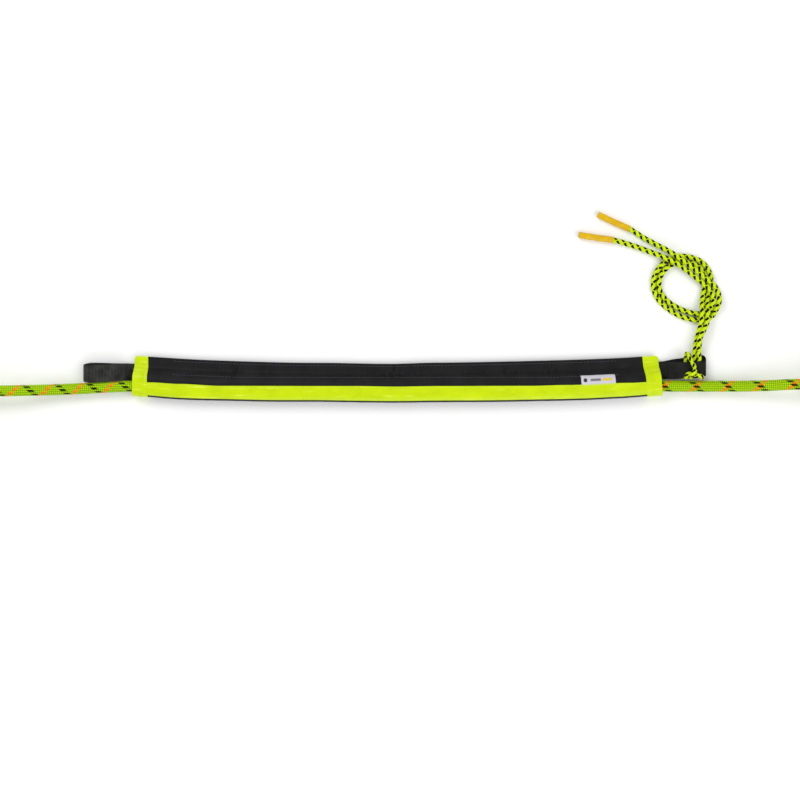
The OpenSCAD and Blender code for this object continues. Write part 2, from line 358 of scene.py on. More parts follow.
def plain_weave(finish, pitch):
    """Height of an over-and-under weave of threads, a pitch apart, from 0 to 1."""
    u, v = finish.u * (math.pi / pitch), finish.v * (math.pi / pitch)
    return (u.sine() * v.sine()).absolute().op("POWER", 0.5)


def cloth_material():
    f = Finish("coated_black_fabric", linear(30, 30, 32), 0.5, Specular_IOR_Level=0.16)
    weave = plain_weave(f, 0.45 * mm)
    cloud = f.noise(60, 4)
    fine = f.noise(900, 2)
    f.colour(f.mix(cloud.ramp(0.35, 0.7), linear(16, 16, 18), linear(28, 28, 30)))
    f.roughness(cloud * 0.2 + 0.45)
    f.bump(weave * 0.6 + fine * 0.4, 0.06 * mm, 0.8)
    return f.material


def tape_material():
    f = Finish("neon_vinyl_tape", linear(206, 230, 0), 0.25, Specular_IOR_Level=0.2)
    cloud = f.noise(45, 3, (1, 2))
    grain = f.noise(1500, 2)
    # Painted highlight: long streaks mixed towards pale yellow stand in for glints on the glossy tape; the
    # same streaks are also a little rougher.
    painted_glint_streaks = f.noise(300, 5, (0.12, 1)).ramp(0.6, 0.7)
    tone = f.mix(cloud.ramp(0.3, 0.75), linear(188, 213, 0), linear(205, 229, 0))
    f.colour(f.mix(painted_glint_streaks * 0.45, tone, linear(238, 248, 90)))
    f.roughness(painted_glint_streaks * 0.2 + cloud * 0.12 + 0.22)
    f.bump(grain * 0.5 + cloud * 0.8, 0.08 * mm, 0.6)
    return f.material


def pile_material():
    f = Finish("black_fastener_pile", linear(24, 24, 26), 0.85, Sheen_Weight=0.1, Specular_IOR_Level=0.1)
    knit = plain_weave(f, 0.8 * mm)
    fuzz = f.noise(2200, 4)
    f.colour(f.mix(fuzz.ramp(0.3, 0.7), linear(16, 16, 18), linear(36, 36, 38)))
    f.bump(fuzz + knit * 0.5, 0.12 * mm)
    return f.material


RIB_PITCH = 1.35 * mm


def webbing_material(name, painted_crest_light):
    """u runs along the webbing and v across it, in metres; the second argument is the colour painted on its
    high threads as their lit crests, while the hollows between the ribs are painted near black as shade.
    """
    f = Finish(name, linear(44, 44, 46), 0.6, Specular_IOR_Level=0.12)
    rib = (f.u * (2 * math.pi / RIB_PITCH)).sine() * 0.5 + 0.5
    thread = (f.v * (2 * math.pi / (1.4 * mm)) + f.u * (2 * math.pi / (2.7 * mm))).sine() * 0.5 + 0.5
    fine = f.noise(1800, 3)
    worn = f.noise(110, 2).ramp(0.35, 0.65)
    # Painted light and shade: the ribs' crests are painted light and the hollows between them near black; the
    # diagonal threads add the weave's own pattern, and the noise varies it at random.
    light = (rib * 0.55 + thread * 0.35) * (worn * 0.6 + 0.4) + fine * 0.3
    f.colour(f.mix(light.ramp(0.15, 0.95), linear(4, 4, 5), painted_crest_light))
    f.bump(rib * 0.5 + thread * 0.5 + fine * 0.2, 0.12 * mm)
    return f.material


def thread_material(name, colour):
    f = Finish(name, colour, 0.5, Sheen_Weight=0.2)
    twist = ((f.u * 4.0 + f.v * 2.0) * math.pi).sine() * 0.5 + 0.5
    f.bump(twist, 0.05 * mm)
    f.roughness(twist * 0.2 + 0.4)
    return f.material


def label_material():
    """u and v run from 0 to 1 over the label. It carries a plain disc and two bars, and no lettering."""
    f = Finish("woven_label", linear(206, 202, 212), 0.6, Specular_IOR_Level=0.15)
    satin = ((f.u * 90.0).fract() - 0.5).absolute() + ((f.v * 26.0).fract() - 0.5).absolute()
    across, up = (f.u - 0.12) * 3.4, f.v - 0.45
    disc = (across * across + up * up) < 0.035
    grey_bar = ((f.u - 0.42).absolute() < 0.15) * ((f.v - 0.45).absolute() < 0.11)
    yellow_bar = ((f.u - 0.75).absolute() < 0.14) * ((f.v - 0.45).absolute() < 0.11)
    ground = f.mix(satin.ramp(0.2, 0.9), linear(196, 192, 200), linear(214, 210, 220))
    marked = f.mix(disc, ground, linear(60, 60, 64))
    marked = f.mix(grey_bar, marked, linear(120, 118, 124))
    f.colour(f.mix(yellow_bar, marked, linear(222, 196, 70)))
    f.bump(satin, 0.06 * mm)
    return f.material


def braid_material(name, first, second, tracers):
    """Two families of strands, each over two and under two of the other. u counts strands of the first
    family round the cord, and v the second's. A tracer is (family, centre, period, half width,
    half length or None to follow the braid, how much shows where it runs under, colour)."""
    f = Finish(name, first, 0.55, Specular_IOR_Level=0.1)
    on_second = ((f.u.floor() + f.v.floor()) % 4.0) > 1.5
    shade = f.noise(1.4, 3)
    checker = ((f.u.floor() + f.v.floor()) % 2.0) > 0.5
    tone = f.mix(checker, first, second)
    dark = tuple(c * 0.72 for c in first[:3]) + (1.0,)
    tone = f.mix(shade.ramp(0.45, 0.8) * 0.6, tone, dark)
    for family, centre, period, half_width, half_length, under, colour in tracers:
        across, along = (f.u, f.v) if family == 0 else (f.v, f.u)
        mask = across.near(centre, period) < half_width
        if half_length:
            mask = mask * (along.near(1.0, 4.0) < half_length)
        else:
            over = on_second if family else on_second.flipped()
            mask = mask * (over * (1.0 - under) + under)
        tone = f.mix(mask, tone, colour)
    across = f.u.fract() * on_second.flipped() + f.v.fract() * on_second
    crown = (across * 2.0 - 1.0).absolute()
    groove = (crown * crown).flipped()
    fibre = (across * (2 * math.pi * 5)).sine() * 0.12
    # Painted shade: the strands' edges, where they dip into the grooves between strands, are mixed towards
    # dark green.
    f.colour(f.mix(groove.ramp(0.0, 0.4).flipped() * 0.45, tone, linear(20, 40, 0)))
    f.bump(groove + fibre, 0.25 * mm, 0.7)
    return f.material


def core_material():
    f = Finish("white_core_strands", linear(225, 225, 218), 0.7, Sheen_Weight=0.3)
    f.bump(f.noise(400, 4), 0.2 * mm)
    return f.material


def shrink_material():
    f = Finish("amber_shrink_tube", linear(228, 185, 0), 0.32, Specular_IOR_Level=0.3)
    cloud = f.noise(140, 3)
    grain = f.noise(1200, 2)
    f.colour(f.mix(cloud.ramp(0.35, 0.7), linear(212, 166, 0), linear(228, 190, 2)))
    f.roughness(cloud * 0.25 + 0.22)
    f.bump(cloud + grain * 0.2, 0.15 * mm, 0.5)
    return f.material


def melted_material():
    f = Finish("melted_cord_end", linear(60, 52, 22), 0.35)
    lumps = f.noise(3000, 3)
    f.colour(f.mix(lumps.ramp(0.3, 0.7), linear(40, 32, 14), linear(96, 84, 30)))
    f.bump(lumps, 0.2 * mm)
    return f.material


def floor_material():
    f = Finish("pale_floor", linear(253, 253, 253), 0.9, Specular_IOR_Level=0.1)
    return f.material


ORANGE = linear(250, 132, 24)
TRACER_BLACK = linear(8, 9, 6)
CLOTH = cloth_material()
TAPE = tape_material()
PILE = pile_material()
WEBBING = webbing_material("black_webbing", linear(72, 72, 69))
# Painted shade: a darker copy of the same webbing, for the right loop, which lies in shade.
SHADED_WEBBING = webbing_material("black_webbing_painted_shade", linear(44, 45, 43))
DARK_THREAD = thread_material("grey_thread", linear(62, 62, 66))
NEON_THREAD = thread_material("neon_thread", linear(226, 242, 60))
LABEL = label_material()
ROPE = braid_material(
    "lime_rope_braid", linear(190, 226, 6), linear(98, 158, 0),
    [(1, 1.0, 16.0, 1.25, None, 0.25, ORANGE), (0, 1.0, 16.0, 1.55, None, 0.12, TRACER_BLACK)])
TIE_CORD = braid_material(
    "lime_yellow_cord_braid", linear(224, 248, 36), linear(206, 236, 12),
    [(0, 0.5, 4.0, 0.88, 1.65, 0.0, TRACER_BLACK)])
CORE = core_material()
SHRINK = shrink_material()
MELTED = melted_material()

# ---- cords

ROPE_STRANDS = 16
CORD_STRANDS = 8
CORD_PITCH = 14.7 * mm
CORD_LEAN = 0.1
CORD_SIDES = 32
CORD_RELIEF = 0.28 * mm
ROPE_RELIEF = 0.25 * mm
FINE_STEP = 0.6 * mm
KNOT_PITCH = 30 * mm
KNOT_WRAPS = 2.85
KNOT_SIDES = 48
# How far short of the end sleeve's far end the cord stops
CORD_SHORT = 1.6 * mm
# The cord stays this far off the ground, and starts this far inside the eye
GROUND_GAP = 0.05 * mm
INTO_EYE = (0.4 * mm, 1.9 * mm, 0)
# Turns of the rope's tracers, and the side of the rope that they cross on, along X
ROPE_XS = np.array([-0.442, -0.252, 0.252, 0.446])
ROPE_TURNS = np.array([-6.02, 0.399, 17.007, 23.47])
ROPE_LEAN = np.array([0.5, 0.5, 0.25, 0.25])


def strand_relief(a, b):
    """Height of the braid, from 0 to 1, at strand coordinates a and b."""
    cell = (np.floor(a) + np.floor(b)) % 4
    first = cell < 2
    across = np.where(first, a % 1, b % 1)
    float_at = np.where(first, (cell + b % 1) / 2, (cell - 2 + a % 1) / 2)
    return (1 - (2 * across - 1) ** 2) ** 0.6 * (0.5 + 0.5 * np.sin(np.pi * np.clip(float_at, 0, 1)))


def braid_parts(path, radius, strands, turns, lean, sides, relief, taper=None):
    """Braided tube along a path: turns and lean are the strands' turns and their start angle at each ring."""
    side, lift = frames(path)
    fraction = np.arange(sides + 1) / sides
    a = strands * (fraction[None] - lean[:, None] + turns[:, None]) + 1
    b = strands * (fraction[None] - lean[:, None] - turns[:, None]) + 1
    r = radius - relief * (1 - strand_relief(a, b)[:, :sides])
    if taper is not None:
        r = r * taper[:, None]
    angle = 2 * np.pi * fraction[:sides]
    rings = path[:, None] + r[..., None] * around(angle, side[:, None], lift[:, None])
    return tube_parts(rings, np.stack([a, b], 2))


def round_ends(path, start=0.0, end=0.0):
    """Ring sizes that round off a tube over the given lengths at its two ends."""
    s = lengths(path)
    size = np.ones(len(path))
    for along, length in ((s, start), (s[-1] - s, end)):
        if length:
            size *= np.sqrt(np.clip(1 - (1 - np.clip(along / length, 0.02, 1)) ** 2, 0, 1))
    return size


def rope_stretch(name, route, step, sides, relief):
    path = smooth_path(route, step)
    turns = np.interp(path[:, 0], ROPE_XS, ROPE_TURNS)
    lean = np.interp(path[:, 0], ROPE_XS, ROPE_LEAN)
    obj = make(name, *braid_parts(path, ROPE_R, ROPE_STRANDS, turns, lean, sides, relief), ROPE)
    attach(obj, "rope")
    return obj, path


def knot_strand(path, turns, taper):
    return braid_parts(path, ROPE_R, ROPE_STRANDS, turns, np.zeros(len(path)), KNOT_SIDES, ROPE_RELIEF, taper)


def knot(name, start, direction):
    """Barrel knot: nearly three turns of rope wound over itself, with a short sealed end."""
    start = np.array(start)
    x_axis = np.array([direction, 0, 0])
    reach = KNOT_L + STUB_L
    core = start + np.linspace(0, reach, 60)[:, None] * x_axis
    core_turns = np.linspace(0, reach / KNOT_PITCH, len(core))
    parts = [knot_strand(core, core_turns, round_ends(core, end=3 * mm))]
    coil_r = KNOT_R - ROPE_R
    first, last = ROPE_R + 0.2 * mm, KNOT_L - ROPE_R - 0.2 * mm
    f = np.linspace(0, 1, 70)
    angle = 2 * np.pi * (KNOT_WRAPS * f + 0.1) * direction
    dive = np.minimum(1, np.minimum(f, 1 - f) / 0.09)
    r = coil_r * (0.45 + 0.55 * dive * dive * (3 - 2 * dive))
    x = first + (last - first) * f
    coil = start + np.stack([direction * x, r * np.cos(angle), r * np.sin(angle)], 1)
    coil = smooth_path(coil, 0.9 * mm)
    parts.append(knot_strand(coil, lengths(coil) / KNOT_PITCH, round_ends(coil, 2 * mm, 2 * mm)))
    obj = make(name, *join_up(parts), ROPE)
    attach(obj, "rope")
    return obj


rope_middle, _ = rope_stretch("rope_middle", [(-ROPE_HALF, ROPE_Y, ROPE_Z), (0, ROPE_Y, ROPE_Z),
                                              (ROPE_HALF, ROPE_Y, ROPE_Z)], 1.2 * mm, 60, 0.22 * mm)
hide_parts("rope_sheath")
knot_left = knot("stopper_knot_left", ROPE_LEFT[-1], -1)
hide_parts("rope_knot_left")
knot_right = knot("stopper_knot_right", ROPE_RIGHT[-1], 1)
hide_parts("rope_knot_right")
rope_left, path = rope_stretch("rope_end_left", ROPE_LEFT[::-1], FINE_STEP, 80, ROPE_RELIEF)
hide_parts("rope_left")
rope_right, path = rope_stretch("rope_end_right", ROPE_RIGHT, FINE_STEP, 80, ROPE_RELIEF)
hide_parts("rope_right")


def leg_points(side, tail):
    """Route of one leg: the doubled route moved sideways, then its own tail."""
    q = np.array([c[:3] for c in CORD_ROUTE])
    ends = np.vstack([q[:1], q, q[-1:]])
    along = ends[2:] - ends[:-2]
    across = unit(np.stack([along[:, 1], -along[:, 0], 0 * along[:, 0]], 1))
    half = np.array([c[3] for c in CORD_ROUTE])[:, None]
    return np.vstack([q + side * half * across, np.array(tail)])


def cord_braid(path, taper=None):
    return braid_parts(path, CORD_R, CORD_STRANDS, lengths(path) / CORD_PITCH, np.full(len(path), CORD_LEAN),
                       CORD_SIDES, CORD_RELIEF, taper)


def cord_leg(name, side, tail, turn, node):
    """One leg from inside the webbing's eye to just short of the end of its shrunk sleeve."""
    points = leg_points(side, tail)
    points[:2] = CROSSED[side]
    before = points[0] - INTO_EYE
    way = headings(turn)[0]
    into = points[-1] + way * (END_SLEEVE_L - CORD_SHORT) * np.array([[0.5], [1.0]])
    path = smooth_path(np.vstack([before, points, into]), FINE_STEP)
    path[:, 2] = np.maximum(path[:, 2], CORD_R + GROUND_GAP)
    obj = make(name, *cord_braid(path), TIE_CORD)
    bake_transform(obj)
    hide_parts(node)


def end_sleeve(name, tail, turn, node):
    """Shrunk tube on a cord's end: its skin follows the braid a little, and the melted end shows in it."""
    start = np.array(tail[-1])
    way, side = headings(turn)
    wall = 0.45 * mm
    body = [(x, END_SLEEVE_R - 0.1 * mm * (1 - math.cos(x / (1.9 * mm)))) for x in
            np.linspace(0.8 * mm, END_SLEEVE_L - 0.8 * mm, 44)]
    lips = [(0.0, CORD_R + 0.12 * mm), (0.0, END_SLEEVE_R - 0.35 * mm), (0.25 * mm, END_SLEEVE_R - 0.08 * mm)]
    far = [(END_SLEEVE_L - 0.2 * mm, END_SLEEVE_R - 0.1 * mm), (END_SLEEVE_L, END_SLEEVE_R - 0.35 * mm),
           (END_SLEEVE_L, END_SLEEVE_R - wall - 0.1 * mm), (END_SLEEVE_L - 2.2 * mm, CORD_R + 0.1 * mm)]
    profile = np.array(lips + body + far)
    sides = 36
    angle = 2 * np.pi * np.arange(sides + 1) / sides
    ripple = 1 + 0.012 * np.sin(2 * angle[None, :sides] + profile[:, :1] / (2.2 * mm))
    ripple += 0.01 * np.sin(3 * angle[None, :sides] - profile[:, :1] / (1.4 * mm))
    bow = 0.25 * mm * np.sin(np.pi * profile[:, 0] / END_SLEEVE_L)
    r = profile[:, 1:] * ripple
    rings = (start + profile[:, None, :1] * way + bow[:, None, None] * side
             + (r * np.cos(angle[None, :sides]))[..., None] * side
             + (r * np.sin(angle[None, :sides]))[..., None] * np.array([0, 0, 1.0]))
    rings[..., 2] = np.maximum(rings[..., 2], GROUND_GAP)
    weave = pairs(profile[:, :1], angle[None] * END_SLEEVE_R)
    points, faces, places = grid(rings, weave, wrap=True)
    obj = make(name, points, faces, places, SHRINK)
    plug = start + way * (END_SLEEVE_L - 1.9 * mm)
    s = np.linspace(0, 1.2 * mm, 6)
    button = plug + s[:, None] * way
    radius = CORD_R * 0.97 * np.sqrt(np.clip(1 - (s / (1.25 * mm)) ** 2, 0, 1))
    rings = button[:, None] + radius[:, None, None] * around(angle[:sides], side, np.array([0, 0, 1.0]))
    weave = pairs(s[:, None], angle[None] * CORD_R)
    end = make(name + "_cord_end", *tube_parts(rings, weave), MELTED)
    for part in (obj, end):
        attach(part, "tie_cord")
    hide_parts(node)
    return obj


sleeve_a = end_sleeve("end_sleeve_lower", TAIL_A, END_A_TURN, "cord_end_sleeve_a")
sleeve_b = end_sleeve("end_sleeve_upper", TAIL_B, END_B_TURN, "cord_end_sleeve_b")
cord_leg("tie_cord_lower_leg", -1, TAIL_A, END_A_TURN, "tie_cord_leg_a")
cord_leg("tie_cord_upper_leg", 1, TAIL_B, END_B_TURN, "tie_cord_leg_b")

# The hitch: from one leg through the eye and round the webbing's upper leg twice, back to the other leg
HITCH_ROUTE = [
    (0.2847, 0.0302, 0.0084), (0.2858, 0.022, 0.007), (0.2868, 0.013, 0.0062), (0.2873, 0.0078, 0.0066),
    (0.2874, 0.0058, 0.0094), (0.2866, 0.0062, 0.012), (0.2842, 0.0074, 0.0126), (0.28, 0.0084, 0.0124),
    (0.2758, 0.009, 0.0122), (0.2738, 0.0084, 0.0116), (0.2727, 0.0062, 0.01), (0.2727, 0.006, 0.007),
    (0.273, 0.0096, 0.005), (0.2734, 0.0165, 0.005), (0.2734, 0.024, 0.0058), (0.2735, 0.0278, 0.0086),
    (0.2744, 0.0276, 0.0114), (0.276, 0.0236, 0.0126), (0.2784, 0.0188, 0.0128), (0.28, 0.0152, 0.0132),
    (0.2803, 0.013, 0.0146), (0.2793, 0.0106, 0.0162), (0.278, 0.0087, 0.0158), (0.2769, 0.0072, 0.0136),
    (0.2768, 0.0058, 0.01), (0.2776, 0.0066, 0.0062), (0.2796, 0.0125, 0.005), (0.2812, 0.022, 0.005),
    (0.2818, 0.0302, 0.0052)]
hitch_path = smooth_path(HITCH_ROUTE, FINE_STEP)
hitch_s = lengths(hitch_path)
hitch_size = np.interp(np.minimum(hitch_s, hitch_s[-1] - hitch_s), (0, 12 * mm), (0.96, 0.82))
hitch = make("tie_cord_hitch_turns", *cord_braid(hitch_path, hitch_size), TIE_CORD)
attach(hitch, "hitch")
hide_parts("tie_cord_hitch")

# ---- the sleeve's cloth

HALF_W = 19 * mm
BOW_R = 4.75
CLOTH_T = 1.0 * mm
CORNER_R = 3 * mm
# The section, in millimetres and degrees; a v is a distance from the fold line
FOLD_R, FOLD_V = 6.97, 7.2
SHOULDER_R, SHOULDER_V = 7.0, 16.3
FLAT_Z, EDGE_V = 4.7, 38.0
SLOPE, FOOT_R = 44.0, 4.0
SLEEVE_HALF = 249.3 * mm
END_REACH = {-1: (249.7, 248.2), 1: (250.3, 247.2)}
FOLD_WANDER = [(-250, 0.6), (-204, -0.9), (-136, -0.2), (-67, 0.8), (0, 0.5), (35, 0.8), (115, 0.2),
               (180, -0.3), (206, 0), (250, 1.0)]
EDGE_WANDER = [(-250, 0.6), (-180, -0.3), (-102, -0.4), (-60, 0), (-7, -0.5), (35, 0.5), (115, 0.6),
               (206, 0.3), (250, 0.7)]
STRIP_EDGE = [(-250, 1.2), (-232, 0.8), (-205, -0.6), (-166, -2.4), (-40, -2.6), (0, -3.1), (40, -2.6),
              (126, -2.4), (160, -1.6), (219, 0.4), (250, 2.0)]


def section_table():
    """The cloth's section: t, v (from the fold line), z and the outward normal, at close steps. The front
    half leaves the rope on a slope and settles on the fastener."""
    top = 2 * FOLD_R

    def arc(v, z, r, start, end, sign=1):
        a = np.radians(np.linspace(start, end, 40))
        return np.stack([v + r * np.cos(a), z + r * np.sin(a), sign * np.cos(a), sign * np.sin(a)], 1)

    def line(v0, z0, v1, z1, normal, n=30):
        return np.stack([np.linspace(v0, v1, n), np.linspace(z0, z1, n),
                         np.full(n, normal[0]), np.full(n, normal[1])], 1)

    n = np.array([math.cos(math.radians(SLOPE)), math.sin(math.radians(SLOPE))])
    off_v, off_z = SHOULDER_V + SHOULDER_R * n[0], top - SHOULDER_R + SHOULDER_R * n[1]
    foot_z = FLAT_Z + FOOT_R * (1 - n[1])
    on_v = off_v + (off_z - foot_z) * n[1] / n[0]
    foot_v = on_v + FOOT_R * n[0]
    rows = np.vstack([
        line(EDGE_V, 0, FOLD_V, 0, (0, -1)),
        arc(FOLD_V, FOLD_R, FOLD_R, 270, 90),
        line(FOLD_V, top, SHOULDER_V, top, (0, 1)),
        arc(SHOULDER_V, top - SHOULDER_R, SHOULDER_R, 90, SLOPE),
        line(off_v, off_z, on_v, foot_z, n),
        arc(foot_v, FLAT_Z + FOOT_R, FOOT_R, 180 + SLOPE, 270, -1),
        line(foot_v, FLAT_Z, EDGE_V, FLAT_Z, (0, 1))])
    rows[:, :2] *= mm
    keep = np.r_[True, np.linalg.norm(np.diff(rows[:, :2], axis=0), axis=1) > 1e-7]
    rows = rows[keep]
    t = np.r_[0, np.cumsum(np.linalg.norm(np.diff(rows[:, :2], axis=0), axis=1))]
    return np.column_stack([t, rows])


SECTION = section_table()
T_END = SECTION[-1, 0]
T_CREST = (EDGE_V - FOLD_V + math.pi * FOLD_R) * mm
T_SHOULDER = T_CREST + (SHOULDER_V - FOLD_V) * mm
T_SPLIT = T_CREST + 4.5 * mm


def fold_y(x):
    return BOW_R - np.sqrt((BOW_R + HALF_W) ** 2 - x * x) + ease(x, FOLD_WANDER)


def edge_y(x):
    return BOW_R - np.sqrt((BOW_R - HALF_W) ** 2 - x * x) + ease(x, EDGE_WANDER)


def across_y(x, v):
    """y at a distance v from the fold line."""
    low = fold_y(x)
    return low + v * (edge_y(x) - low) / (2 * HALF_W)


def across_v(x, y):
    """Distance from the fold line at a place y."""
    low = fold_y(x)
    return (y - low) / (edge_y(x) - low) * 2 * HALF_W


def make_wrinkles():
    """Creases of the black cloth: x, y at the tip and at the foot, lean, depth and width. Six are placed
    one by one, and the rest at random in four stretches."""
    marks = [(-155, 14.7, 4.3, 0.28, 0.9, 1.5), (-160, 24, 17, -0.1, 0.6, 1.4), (-5, 20, 4.5, 0.1, 0.8, 1.3),
             (-9, 12, 2, -0.3, 0.5, 1.0), (13, 20, 8, -0.15, 0.6, 1.2), (177, 24, 17, 0.2, 0.6, 1.3)]
    for low, high, count in ((-136, -114, 4), (-34, 30, 9), (96, 148, 8), (-230, 230, 16)):
        for _ in range(count):
            foot = rng.uniform(4.5, 7)
            marks.append((rng.uniform(low, high), foot + rng.uniform(5, 12), foot, rng.uniform(-0.3, 0.3),
                          rng.uniform(0.2, 0.5), rng.uniform(0.8, 1.8)))
    return np.array(marks)


WRINKLES = make_wrinkles()


def wrinkle(x, y):
    """How far the front cloth lies below its even surface."""
    height = np.zeros(np.broadcast(x, y).shape)
    for wx, tip, foot, lean, depth, width in WRINKLES:
        along = (y / mm - foot) / (tip - foot)
        fade = np.clip(np.minimum(along + 0.15, 1.15 - along) * 4, 0, 1)
        across = (x / mm - wx - lean * (y / mm - foot)) / width
        height += 1.5 * depth * fade * (np.exp(-across ** 2) - 0.55 * np.exp(-(across - 1.9) ** 2 / 1.5))
    return height * mm


def skin(x, t, out):
    """Point on the cloth at x and t, a distance out from its outer face."""
    x, t, out = np.broadcast_arrays(np.asarray(x, float), t, out)
    v, z, nv, nz = (np.interp(t, SECTION[:, 0], SECTION[:, k]) for k in (1, 2, 3, 4))
    n = np.hypot(nv, nz)
    v, z = v + out * nv / n, z + out * nz / n
    y = across_y(x, v)
    front = np.clip((t - T_SHOULDER) / (6 * mm), 0, 1)
    roll = 0.35 * mm * np.sin(x / (17 * mm)) * np.sin(x / (61 * mm) + 1)
    z = z - front * (wrinkle(x, y) - 0.6 * roll)
    at_fold, at_edge = (np.where(x < 0, END_REACH[-1][k], END_REACH[1][k]) * mm / SLEEVE_HALF for k in (0, 1))
    return np.stack([x * (at_fold + (at_edge - at_fold) * v / (2 * HALF_W)), y, z], -1)


def end_inset(t):
    """How far the sleeve's end is drawn in by its rounded corners at the open edge."""
    near = np.clip(CORNER_R - np.minimum(t, T_END - t), 0, CORNER_R)
    return CORNER_R - np.sqrt(CORNER_R ** 2 - near ** 2)


def cloth_sheet(name, t0, t1, steps):
    x = np.linspace(-1, 1, 421)[:, None]
    t = np.linspace(t0, t1, steps)[None]
    x = x * (SLEEVE_HALF - 0.5 * mm - end_inset(t))
    weave = pairs(x, t)
    return make(name, *shell_parts(skin(x, t, 0), skin(x, t, -CLOTH_T), weave), CLOTH)


def ride_fold(obj):
    """The piece's place is baked into its mesh; it is not attached to the flap."""
    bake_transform(obj)


cloth_back = cloth_sheet("sleeve_cloth_back_and_fold", 0, T_SPLIT, 64)
ride_fold(cloth_back)
cloth_front = cloth_sheet("sleeve_cloth_front", T_SPLIT, T_END, 40)
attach(cloth_front, "front_flap")
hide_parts("back_panel")
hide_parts("front_panel")

# ---- neon tape

TAPE_T = 0.4 * mm
LAY = 0.05 * mm
LEAF_T = 0.3 * mm
SEAM_IN = 1.3 * mm
STRIP_HALF = 239
BAND_W = SLEEVE_HALF - 0.235
# Where a band's row of stitches runs, as a share of its width
BAND_SEAM = 0.16
STRIP_LOW_T = (EDGE_V - FOLD_V + math.radians(134) * FOLD_R) * mm
BAND_INNER = {-1: (234.6, 236.6), 1: (235.2, 234.2)}


def strip_top_t(x):
    """t of the wear strip's upper edge."""
    return T_CREST + across_v(x, ease(x, STRIP_EDGE)) - FOLD_V * mm


def band_inner(side, t):
    """Distance from the sleeve's middle to a band's inner edge."""
    fold, edge = BAND_INNER[side]
    v = np.interp(t, SECTION[:, 0], SECTION[:, 1])
    return (fold + (edge - fold) * v / (EDGE_V * mm)) * mm


def wear_strip():
    x = np.linspace(-STRIP_HALF, STRIP_HALF, 440)[:, None] * mm
    f = np.linspace(0, 1, 26)[None]
    top = strip_top_t(x)
    t = STRIP_LOW_T + (top - STRIP_LOW_T) * f
    edge = np.minimum(t - STRIP_LOW_T, top - t)
    seam = np.exp(-((edge - SEAM_IN) / (0.35 * mm)) ** 2)
    pucker = 0.10 * mm * np.sin(x / (1.65 * mm) * math.pi) * np.exp(-((edge - SEAM_IN) / (0.9 * mm)) ** 2)
    slack = 0.16 * mm * np.sin(x / (9 * mm) + 3 * np.sin(x / (47 * mm))) * np.sin(np.pi * f)
    crease = 0.35 * mm * np.exp(-((x + 1.9 * mm) / (0.7 * mm)) ** 2) * np.sin(np.pi * f)
    lift = LAY + TAPE_T + pucker + slack - 0.16 * mm * seam - crease
    lift = np.maximum(lift, 0.12 * mm)
    weave = pairs(x, t)
    obj = make("neon_wear_strip", *shell_parts(skin(x, t, lift), skin(x, t, LAY * 0.5), weave), TAPE)
    ride_fold(obj)
    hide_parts("wear_strip")


wear_strip()


def band_profile():
    """Section of a band through the sleeve's end: place from its inner edge (0) to the end (1), a further
    reach past the end, and the distance out from the cloth."""
    out, inside = LAY + TAPE_T, -CLOTH_T - LAY
    face = [(s, 0, out) for s in np.linspace(0, 1, 16)]
    middle, half = (out + inside - LEAF_T) / 2, (out - inside + LEAF_T) / 2
    wall = [(1, 0.45 * mm * math.cos(a), middle + half * math.sin(a)) for a in np.linspace(1.3, -1.3, 8)]
    leaf = [(s, 0, inside - LEAF_T) for s in np.linspace(1, 0, 8)]
    back = [(s, 0, inside) for s in np.linspace(0, 1, 4)] + [(s, 0, LAY * 0.5) for s in np.linspace(1, 0, 4)]
    return np.array(face + wall + leaf + back)


def band(side, t0, t1, steps, name):
    profile = band_profile()
    t = np.linspace(t0, t1, steps)[:, None]
    inner = band_inner(side, t)
    outer = SLEEVE_HALF - 0.4 * mm - end_inset(t)
    s, past, out = (profile[None, :, k] for k in range(3))
    ridge = 0.3 * mm * np.exp(-((s - 0.48) / 0.04) ** 2)
    ridge = ridge - 0.16 * mm * np.exp(-((s - BAND_SEAM) / 0.03) ** 2)
    pucker = 0.07 * mm * np.sin(t / (1.6 * mm) * math.pi) * np.exp(-((s - BAND_SEAM) / 0.08) ** 2)
    out = out + np.where(out > 0.2 * mm, ridge + pucker, 0)
    points = skin(side * (inner + (outer - inner) * s + past), t, out)
    columns = np.linspace(0, 3 * BAND_W, profile.shape[0] + 1)[None]
    weave = pairs(columns, t)
    obj = make(name, *tube_parts(points, weave), TAPE)
    return obj


for side, word in ((-1, "left"), (1, "right")):
    back_band = band(side, 0, T_SPLIT, 90, f"end_band_{word}_back_and_fold")
    ride_fold(back_band)
    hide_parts(f"end_tape_{word}_back")
    front_band = band(side, T_SPLIT, T_END, 60, f"end_band_{word}_front")
    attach(front_band, "front_flap")
    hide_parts(f"end_tape_{word}_front")

# ---- stitching

STITCH_STEP = 3.3
STITCH_L = 2.4 * mm

def stitch_parts(starts, ends, lifts, radius):
    """Short arched threads from each start to its end, raised by lifts in the middle."""
    parts = []
    sides = 6
    angle = 2 * np.pi * np.arange(sides + 1) / sides
    for a, b, lift in zip(starts, ends, lifts):
        f = np.array([0, 0.14, 0.5, 0.86, 1.0])[:, None]
        rise = np.array([-0.6, 0.35, 1, 0.35, -0.6])[:, None]
        path = a + (b - a) * f + lift * rise
        along = unit(b - a)
        up = unit(lift)
        side = np.cross(along, up)
        r = radius * np.array([0.6, 1, 1, 1, 0.6])[:, None, None]
        rings = path[:, None] + r * around(angle[:sides], side, up)
        weave = pairs(f * 3, angle[None] / (2 * np.pi))
        parts.append(tube_parts(rings, weave))
    return parts


def skin_row(x, t, length, out, rise, step=(1, 0)):
    """Starts, ends and lifts of stitches at places x and t on the cloth; step is their direction."""
    a = skin(x, t, out)
    b = skin(x + step[0] * length, t + step[1] * length, out)
    lift = skin(x, t, out + rise) - a
    return a, b, lift


def row_t(x, y):
    """t on the front half's cloth at a place y."""
    front = SECTION[SECTION[:, 0] > T_CREST]
    return np.interp(across_v(x, y), front[:, 1], front[:, 0])


